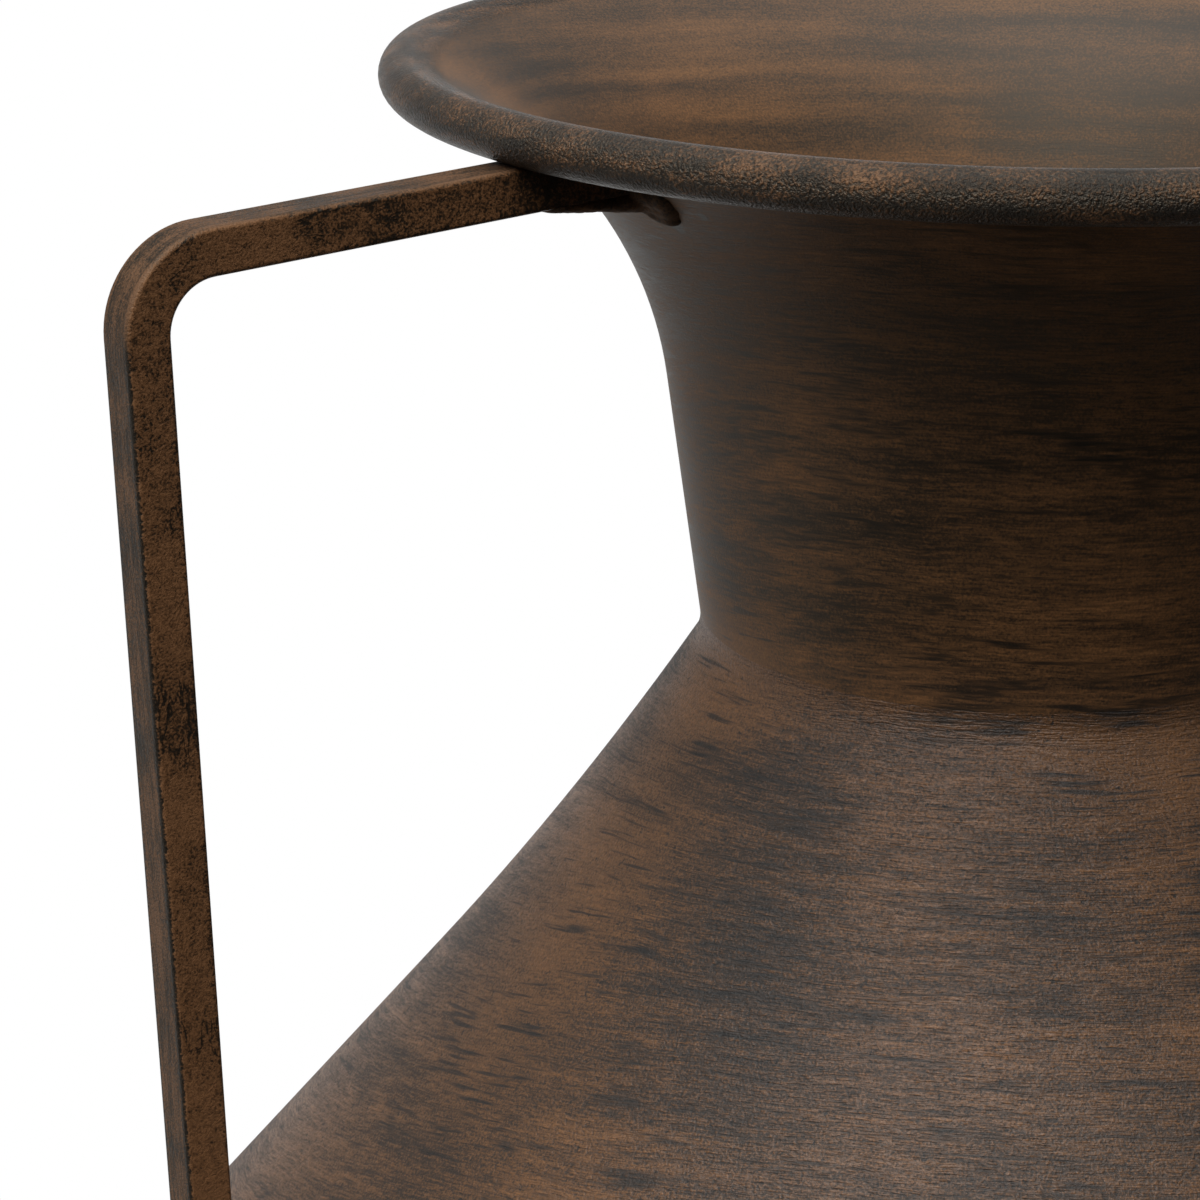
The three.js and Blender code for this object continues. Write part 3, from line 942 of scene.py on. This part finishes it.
print("places wiped or darkened by hand:", len(BODY_MARKS_AND_PAINTED_LIGHT))

# %% Coat of the body
# Each ball raises or lowers the mix near its spot: wipes and darker glaze, and painted light and shade.
def marks_and_painted_light(place, mix, marks):
    for spot, reach, amount in marks:
        offset = vector_node("SUBTRACT", place, spot)
        near = remap(length_of(offset), reach, 0.0, 0.0, amount)
        mix = plus(mix, near)
    return mix


def coat_mix(place):
    """The mix of glaze and base on the body, and the two finest marks that it is made of."""
    height = dot(place, UP)
    cloud = grain_mark(clouds, place, CLOUD_SIZE)
    crowd = grain_mark(clouds, place, CROWD_SIZE)
    tooth = grain_mark(grain, place, TOOTH_SIZE)
    broad = brush_mark(smear, place, BROAD)
    fine = brush_mark(hairline, place, FINE)
    touch = brush_mark(touch_down, place, TOUCH)
    bristle = brush_mark(hairline, place, BRISTLE)

    # Lower on the neck: partly more glaze, partly painted shade under the rim.
    depth = over_crease(height, 0.001, 0.006, SHOULDER_DEPTH, NECK_DEPTH)
    # The balls add painted light and painted shade as well as wipes.
    wiped_and_painted_light = marks_and_painted_light(place, depth, BODY_MARKS_AND_PAINTED_LIGHT)
    faint = remap(wiped_and_painted_light, 0.48, 0.68, 1.0, 0.45)
    streaks = weighted([(broad, 0.55), (fine, 0.5), (bristle, 0.8)], 0.0)
    mix = math_node("MULTIPLY_ADD", streaks, faint, wiped_and_painted_light)
    mix = plus(mix, weighted([(cloud, 0.6)], 0.0))
    grit = over_crease(height, 0.004, 0.006, SHOULDER_GRIT, NECK_GRIT)
    mix = math_node("MULTIPLY_ADD", math_node("SUBTRACT", tooth, 0.5), grit, mix)
    stroke = weighted([(touch, 1.0), (crowd, -0.5), (tooth, 0.45), (fine, 0.35)], 0.5)
    pressed = remap(wiped_and_painted_light, 0.48, 0.66, -0.28, -0.48)
    mix = math_node("MULTIPLY_ADD", remap(stroke, 0.58, 0.74), pressed, mix)
    return mix, bristle, tooth


def body_coat():
    material, shader, place = new_material("body_coat")
    mix, bristle, tooth = coat_mix(place)
    pits = grain_mark(grain, place, PIT_SIZE)
    mix = plus(mix, remap(pits, 0.65, 0.73, 0.0, -0.4))
    lift = weighted([(tooth, 0.7), (bristle, 1.2), (pits, -0.5)], 0.5)
    feed(shader, {
        "Base Color": ramp(mix, COAT),
        "Roughness": remap(mix, 0.2, 0.8, 0.61, 0.45),
        "Specular IOR Level": 0.75,
        "Normal": bump(lift, 0.65, 0.0004),
    })
    return material


shoulder_coat = body_coat()
print("body coat made")

# %% [markdown]
# The neck has two more looks on the same sheet. Inside the trumpet the brush was wide and the marks
# are soft, and on the rolled rim the glaze caught on the sprayed grain, so it is speckled. The rim is
# darker towards the underside of the roll, which is painted shade, and barely lighter on top. Outside,
# just under the rim, the neck is lighter with painted light from below, and inside the mouth one soft
# ball is partly painted light and another is painted shade. A thin wax gives the mouth, the top of the
# rim and the foot of the neck a dull sheen, and it is the shader's coat. Where a point lies follows
# from its distance to the centres that the profile was drawn with, so the looks blend along the sheet
# with no edge.

# %% Places on the neck and rim
SPECKLE = [
    (0.15, (0.0080, 0.0068, 0.0060)),
    (0.45, (0.0400, 0.0220, 0.0115)),
    (0.65, (0.1100, 0.0520, 0.0230)),
    (0.90, (0.1900, 0.0950, 0.0440)),
]
INSIDE_MARKS_AND_PAINTED_LIGHT = [
    # Partly a lighter coat, partly painted light of the grazing sheen on the left of the flare.
    ((-0.0705, 0.0430, 0.3772), 0.032, 0.30),
    ((-0.0388, 0.0546, 0.3641), 0.022, 0.06),
    ((0.0180, 0.0625, 0.3619), 0.030, 0.10),
    # Painted shade: darkens the far wall of the mouth on the right.
    ((0.0529, 0.0369, 0.3611), 0.045, -0.16),
]
MOUTH_SMEAR = (0.05, 0.005, 0.008)
MOUTH_CLOUD_SIZE = 0.03
RIM_PATCH = (0.012, 0.002, 0.004)
SPECK_SIZE = 0.0005


def neck_places(place):
    """A point's height, how far through the sheet to its inner side it lies, and how far on the rim."""
    radius = length_of(vector_node("MULTIPLY", place, LEVEL))
    height = dot(place, UP)
    section = combine(radius, height)
    from_flare = vector_node("SUBTRACT", section, (*flare_centre, 0.0))
    up_neck = dot(from_flare, (*neck_way, 0.0))
    off_neck = dot(from_flare, (*neck_normal, 0.0))
    bent = combine(math_node("MAXIMUM", up_neck, 0.0), off_neck)
    wall = length_of(bent)
    inside = remap(wall, FLARE_RADIUS - SHEET * 0.7, FLARE_RADIUS - SHEET * 0.3)
    from_rim = length_of(vector_node("SUBTRACT", section, (*rim_centre, 0.0)))
    on_rim = remap(from_rim, roll_radius * 1.8, roll_radius * 1.1)
    return height, inside, on_rim


def neck_wax(height, inside, on_rim):
    crown = remap(height, rim_height, rim_height + roll_radius, 0.0, 0.35)
    mouth = remap(height, rim_height - 0.022, rim_height - 0.004, 0.24, 1.0)
    foot = remap(height, crease_height + 0.016, crease_height, 0.0, 0.35)
    return blend(on_rim, blend(inside, foot, mouth), crown)


# %% Coat of the neck and rim
def neck_coat():
    material, shader, place = new_material("neck_coat")
    height, inside, on_rim = neck_places(place)
    mix, bristle, tooth = coat_mix(place)
    wide = brush_mark(smear, place, MOUTH_SMEAR)
    cloud = grain_mark(clouds, place, MOUTH_CLOUD_SIZE)
    soft = weighted([(wide, 0.65), (cloud, 0.6), (bristle, 0.3), (tooth, 0.9)], 0.45)
    # Some of the balls inside are painted light and painted shade.
    soft = marks_and_painted_light(place, soft, INSIDE_MARKS_AND_PAINTED_LIGHT)
    # Painted light: the outside of the neck just under the rim is lighter, as if lit from below.
    painted_light_under_rim = remap(height, rim_height - 0.030, rim_height - 0.010, 0.0, 0.10)
    mix = blend(inside, plus(mix, painted_light_under_rim), soft)
    speck = grain_mark(grain, place, SPECK_SIZE)
    patch = brush_mark(smear, place, RIM_PATCH)
    speckled = weighted([(speck, 1.1), (tooth, 1.6), (patch, 1.3)], 0.40)
    # Painted shade: the rim darkens towards the underside of the roll and is barely lighter on top.
    painted_shade_under_roll = remap(height, rim_height - roll_radius, rim_height + roll_radius, -0.16, 0.02)
    rim_coat = ramp(plus(speckled, painted_shade_under_roll), SPECKLE)
    gloss = remap(mix, 0.1, 0.9, 0.46, 0.60)
    inner_wall = math_node("MULTIPLY", inside, math_node("SUBTRACT", 1.0, on_rim))
    gloss = math_node("MULTIPLY_ADD", inner_wall, 0.14, gloss)
    gloss = math_node("MULTIPLY_ADD", on_rim, -0.18, gloss)
    calm = weighted([(tooth, 0.3), (bristle, 0.3)], 0.5)
    rough = weighted([(tooth, 3.2), (speck, 2.4)], 0.5)
    feed(shader, {
        "Base Color": blend_colours(on_rim, ramp(mix, COAT), rim_coat),
        "Roughness": gloss,
        "Specular Tint": WARM_GLAZE,
        "Coat Weight": neck_wax(height, inside, on_rim),
        "Coat Roughness": 0.75,
        "Normal": bump(blend(on_rim, calm, rough), 0.6, 0.0003),
    })
    return material


rim_and_neck_coat = neck_coat()
print("neck coat made")

# %% [markdown]
# The handle has the same coat, but its sides were dabbed and not brushed: copper-brown, mottled with
# black, darker by the rim with painted shade under its overhang, and lighter down the leg. Its top and
# outer face are brushed along the bar. Distances along, across and out of the bar follow from the
# centre of its bend. They give the brushing its way, a painted highlight beside the outer arrises of
# the arm and the bend, and the leg a ragged dark line beside its outer arris.

# %% Places on the handle
MOTTLED = [
    (0.22, (0.0130, 0.0092, 0.0064)),
    (0.40, (0.0400, 0.0200, 0.0095)),
    (0.58, (0.1250, 0.0560, 0.0225)),
    (0.95, (0.2100, 0.0960, 0.0390)),
]
BRUSHED_BAR = [
    (0.15, (0.0120, 0.0088, 0.0068)),
    (0.45, (0.0560, 0.0300, 0.0155)),
    (0.85, (0.1500, 0.0740, 0.0360)),
]
ARRIS_LINE = 0.0011
# A painted highlight beside the outer arris of the arm and bend.
ARM_EDGE_PAINTED_HIGHLIGHT = 0.2
LEG_EDGE = -0.6
BAR_CLOUD_SIZE = 0.012
FLECK_SIZE = 0.0010
BAR_TOOTH_SIZE = 0.00035
HAIR_SIZES = (0.006, 0.0006, 0.0006)
SPLIT_SIZES = (0.014, 0.0045, 0.0035)

bend_end = bend_middle * math.pi / 2


def bar_places(place):
    """Distances along, across and out of the bar, followed round its bend."""
    from_bend = vector_node("SUBTRACT", place, on_handle(bend_centre))
    outwards = dot(from_bend, on_handle(leg_out))
    upwards = dot(from_bend, on_handle(arm_up))
    past_leg = math_node("MAXIMUM", outwards, 0.0)
    past_arm = math_node("MAXIMUM", upwards, 0.0)
    from_centre = length_of(combine(past_leg, past_arm))
    depth = math_node("SUBTRACT", from_centre, bend_middle)
    on_arm = math_node("MINIMUM", outwards, 0.0)
    run = math_node("SUBTRACT", on_arm, math_node("MINIMUM", upwards, 0.0))
    turned = math_node("ARCTAN2", past_leg, past_arm)
    run = math_node("MULTIPLY_ADD", turned, bend_middle, run)
    return run, dot(place, SIDEWAYS), depth


def bar_noise(on_bar, sizes, detail):
    stretched = vector_node("MULTIPLY", on_bar, [1 / size for size in sizes])
    return noise(stretched, 1.0, detail, 0.6)


def bar_edges(run, half_side, depth, ragged):
    """Lines by the outer arrises, a painted highlight on the arm, dark on the leg; dark inner arrises.
    """
    off_face = math_node("SUBTRACT", BAR_THICKNESS / 2, depth)
    off_side = math_node("SUBTRACT", half_bar, half_side)
    off_arris = math_node("MULTIPLY_ADD", off_face, 2.5, off_side)
    line = remap(plus(off_arris, ragged), ARRIS_LINE, ARRIS_LINE / 2)
    # Painted highlight on the arm and bend, a dark line on the leg.
    tone = remap(run, bend_end - 0.002, bend_end + 0.004, ARM_EDGE_PAINTED_HIGHLIGHT, LEG_EDGE)
    inner_face = -BAR_THICKNESS / 2
    inner = remap(plus(depth, ragged), inner_face + ARRIS_LINE, inner_face, 0.0, -0.25)
    return math_node("MULTIPLY", line, tone), inner


# %% Coat of the handle
def handle_coat():
    material, shader, place = new_material("handle_coat")
    run, width, depth = bar_places(place)
    on_bar = combine(run, width, depth)
    half_side = math_node("ABSOLUTE", width)
    on_side = remap(half_side, half_bar - BAR_ARRIS * 0.6, half_bar - BAR_ARRIS * 0.1)
    cloud = grain_mark(clouds, place, BAR_CLOUD_SIZE)
    fleck = grain_mark(grain, place, FLECK_SIZE)
    tooth = grain_mark(grain, place, BAR_TOOTH_SIZE)
    hair = bar_noise(on_bar, HAIR_SIZES, 2.0)

    ragged = weighted([(fleck, 0.0010), (tooth, 0.0008)], 0.0)
    edge, inner_edge = bar_edges(run, half_side, depth, ragged)
    # Painted shade: the bar darkens close to the rim, which overhangs it.
    painted_shade_by_rim = remap(run, -0.035, -0.004, -0.26, 0.0)
    down_leg = remap(run, bend_end, bend_end + 0.10, 0.0, 0.06)
    split = math_node("SUBTRACT", bar_noise(on_bar, SPLIT_SIZES, 3.0), 0.5)
    split = remap(math_node("ABSOLUTE", split), 0.006, 0.018, -0.4, 0.0)
    crazed = math_node("MULTIPLY", split, remap(cloud, 0.47, 0.39))
    mottled = weighted([(cloud, 1.0), (fleck, 0.8), (tooth, 1.5)], 0.69)
    mottled = plus(mottled, crazed, edge, inner_edge, painted_shade_by_rim, down_leg)
    brushed_mix = weighted([(cloud, 1.3), (hair, 1.3), (tooth, 1.5)], 0.52)
    face_coat = ramp(plus(brushed_mix, edge), BRUSHED_BAR)
    lift = weighted([(tooth, 1.0), (fleck, 0.6)], 0.5)
    feed(shader, {
        "Base Color": blend_colours(on_side, face_coat, ramp(mottled, MOTTLED)),
        "Roughness": remap(mottled, 0.2, 0.9, 0.42, 0.58),
        "Specular Tint": WARM_GLAZE,
        "Specular IOR Level": 0.5,
        "Normal": bump(lift, 0.6, 0.0003),
    })
    return material


bar_coat = handle_coat()
print("handle coat made")

# %% [markdown]
# The welds carry a rough, dark coat, the wire in the rim is bare steel, and the feet are black rubber.
# Each is only a mottled colour and a fine grain, so one function makes all three.

# %% Coats of the small pieces
SMALL_GRAIN = 0.0004
SMALL_CLOUD = 0.0048


def small_coat(name, stops, gloss, metal):
    material, shader, place = new_material(name)
    cloud = grain_mark(clouds, place, SMALL_CLOUD)
    tooth = grain_mark(grain, place, SMALL_GRAIN)
    mix = weighted([(cloud, 0.9), (tooth, 1.2)], 0.5)
    feed(shader, {
        "Base Color": ramp(mix, stops),
        "Roughness": remap(mix, 0.1, 0.9, gloss, gloss + 0.14),
        "Metallic": metal,
        "Normal": bump(tooth, 0.2, 0.0003),
    })
    return material


WELD_COLOURS = [
    (0.2, (0.012, 0.008, 0.005)),
    (0.5, (0.075, 0.038, 0.016)),
    (0.9, (0.170, 0.080, 0.031)),
]
STEEL_COLOURS = [(0.2, (0.20, 0.19, 0.18)), (0.8, (0.36, 0.35, 0.33))]
RUBBER_COLOURS = [(0.2, (0.014, 0.014, 0.014)), (0.8, (0.034, 0.033, 0.032))]

weld_coat = small_coat("weld_coat", WELD_COLOURS, 0.80, 0.0)
wire_steel = small_coat("wire_steel", STEEL_COLOURS, 0.35, 1.0)
black_rubber = small_coat("black_rubber", RUBBER_COLOURS, 0.75, 0.0)
print("small coats made")

# %% [markdown]
# Each finished piece takes its finish, rides on the frame's one body and stands for its node there.
# The rim's wire is right as the frame has it, so it stays and only takes the steel.

# %% Dress the vase
dressed = []


def dress(piece, finish, node):
    dressed.append(piece)
    piece.data.materials.clear()
    piece.data.materials.append(finish)
    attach(piece, "root")
    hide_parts(node)


dress(neck, rim_and_neck_coat, "neck_collar")
dress(shoulder, shoulder_coat, "shoulder")
dress(bowl, shoulder_coat, "lower_body")
dress(base_disc, shoulder_coat, "base_plate")
dress(neck_seam, shoulder_coat, "neck_seam_weld")
dress(belly_seam, shoulder_coat, "belly_seam_weld")
dress(base_seam, weld_coat, "base_seam_weld")
dress(handle, bar_coat, "handle_bar")
dress(top_weld, weld_coat, "handle_top_weld")
dress(foot_weld, weld_coat, "handle_foot_weld")
for foot, node in zip(rubber_feet, rubber_nodes):
    dress(foot, black_rubber, node)
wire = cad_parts["rim_wire"]
wire.data.materials.clear()
wire.data.materials.append(wire_steel)
print("pieces dressed:", len(dressed))

# %% [markdown]
# The floor is a pale disc that fades to white round the vase, so the shadow stays and the background
# is clean. Light Path makes the white for what the camera sees directly, in gloss or through glass.

# %% Floor
FLOOR_RADIUS = 0.27
FADE_START = 0.16
FADE_END = 0.26
PALE = (0.6, 0.6, 0.6, 1.0)

bpy.ops.mesh.primitive_circle_add(
    vertices=96,
    radius=FLOOR_RADIUS,
    fill_type="NGON",
    location=(0.0, 0.0, cad_low.z),
)
floor = bpy.context.object
floor.name = "floor"
bpy.ops.object.transform_apply()
pale = bpy.data.materials.new("pale_floor")
pale.use_nodes = True
tree = pale.node_tree
tree.nodes.clear()
place = add(tree, "ShaderNodeTexCoord").outputs["Object"]
reach = length_of(vector_node("MULTIPLY", place, LEVEL))
fade = remap(reach, FADE_START, FADE_END)
rays = add(tree, "ShaderNodeLightPath").outputs
seen = math_node("MAXIMUM", rays["Is Camera Ray"], rays["Is Glossy Ray"])
seen = math_node("MAXIMUM", seen, rays["Is Transmission Ray"])
share = math_node("MULTIPLY", fade, seen)
matt = add(tree, "ShaderNodeBsdfDiffuse", {"Color": PALE}).outputs[0]
glow = add(tree, "ShaderNodeEmission", {"Color": WHITE, "Strength": 1.0}).outputs[0]
mixed = add(tree, "ShaderNodeMixShader", {0: share, 1: matt, 2: glow}).outputs[0]
add(tree, "ShaderNodeOutputMaterial", {"Surface": mixed})
floor.data.materials.append(pale)
print("floor radius", FLOOR_RADIUS)

# %% [markdown]
# The light is a soft studio: a wide dome overhead, as under a tent of white cloth, one large soft box
# high above the camera, a dim glow from the left of the picture and hardly any light from the front
# below. Walls that face up, such as the shoulder, catch the soft box, and the neck under its rim stays
# dark. A world that reads the direction makes the whole tent with no lamp. What the camera sees of it
# directly, or through glass, is plain white, and gloss shows a white backdrop behind the vase.

# %% Studio light
DOME_LEVEL = 0.58
DOME_FOOT = 0.36
DOME_FULL = 0.72
BOX_LEVEL = 4.4
BOX_TURN = math.radians(-21)
BOX_RISE = math.radians(57)
BOX_EDGE = 0.80
BOX_FULL = 0.975
SIDE_LEVEL = 0.46
SIDE_TURN = math.radians(-110)
SIDE_EDGE = 0.1
SIDE_FULL = 0.9
SIDE_LOW = -0.2
SIDE_HIGH = 0.4
FILL_LEVEL = 0.03
BACKDROP_EDGE = 0.70
BACKDROP_FULL = 0.97


def sky_way(turn, rise):
    """A direction, turned from the camera's side of the vase and raised from the horizon."""
    level = math.cos(rise)
    return level * math.cos(CAMERA_TURN + turn), level * math.sin(CAMERA_TURN + turn), math.sin(rise)


world = bpy.data.worlds.new("soft_studio")
world.use_nodes = True
tree = world.node_tree
tree.nodes.clear()
way = add(tree, "ShaderNodeTexCoord").outputs["Generated"]
up = dot(way, UP)
to_box = dot(way, sky_way(BOX_TURN, BOX_RISE))
to_side = dot(way, sky_way(SIDE_TURN, 0.0))
to_back = dot(way, sky_way(math.pi, -LOOK_DOWN))
dome = remap(up, DOME_FOOT, DOME_FULL, FILL_LEVEL, DOME_LEVEL)
soft_box = remap(to_box, BOX_EDGE, BOX_FULL, 0.0, BOX_LEVEL)
side = remap(to_side, SIDE_EDGE, SIDE_FULL, 0.0, SIDE_LEVEL)
side = math_node("MULTIPLY", side, remap(up, SIDE_LOW, SIDE_HIGH, 1.0, 0.0))
studio = plus(dome, soft_box, side)
rays = add(tree, "ShaderNodeLightPath").outputs
clear = math_node("MAXIMUM", rays["Is Camera Ray"], rays["Is Transmission Ray"])
backdrop = remap(to_back, BACKDROP_EDGE, BACKDROP_FULL)
backdrop = math_node("MULTIPLY", backdrop, rays["Is Glossy Ray"])
clear = math_node("MAXIMUM", clear, backdrop)
strength = blend(clear, studio, 1.0)
background = add(tree, "ShaderNodeBackground", {"Color": WHITE, "Strength": strength}).outputs[0]
add(tree, "ShaderNodeOutputWorld", {"Surface": background})
bpy.context.scene.world = world
bpy.context.scene.view_settings.view_transform = "Standard"
print("dome and box levels", DOME_LEVEL, BOX_LEVEL)
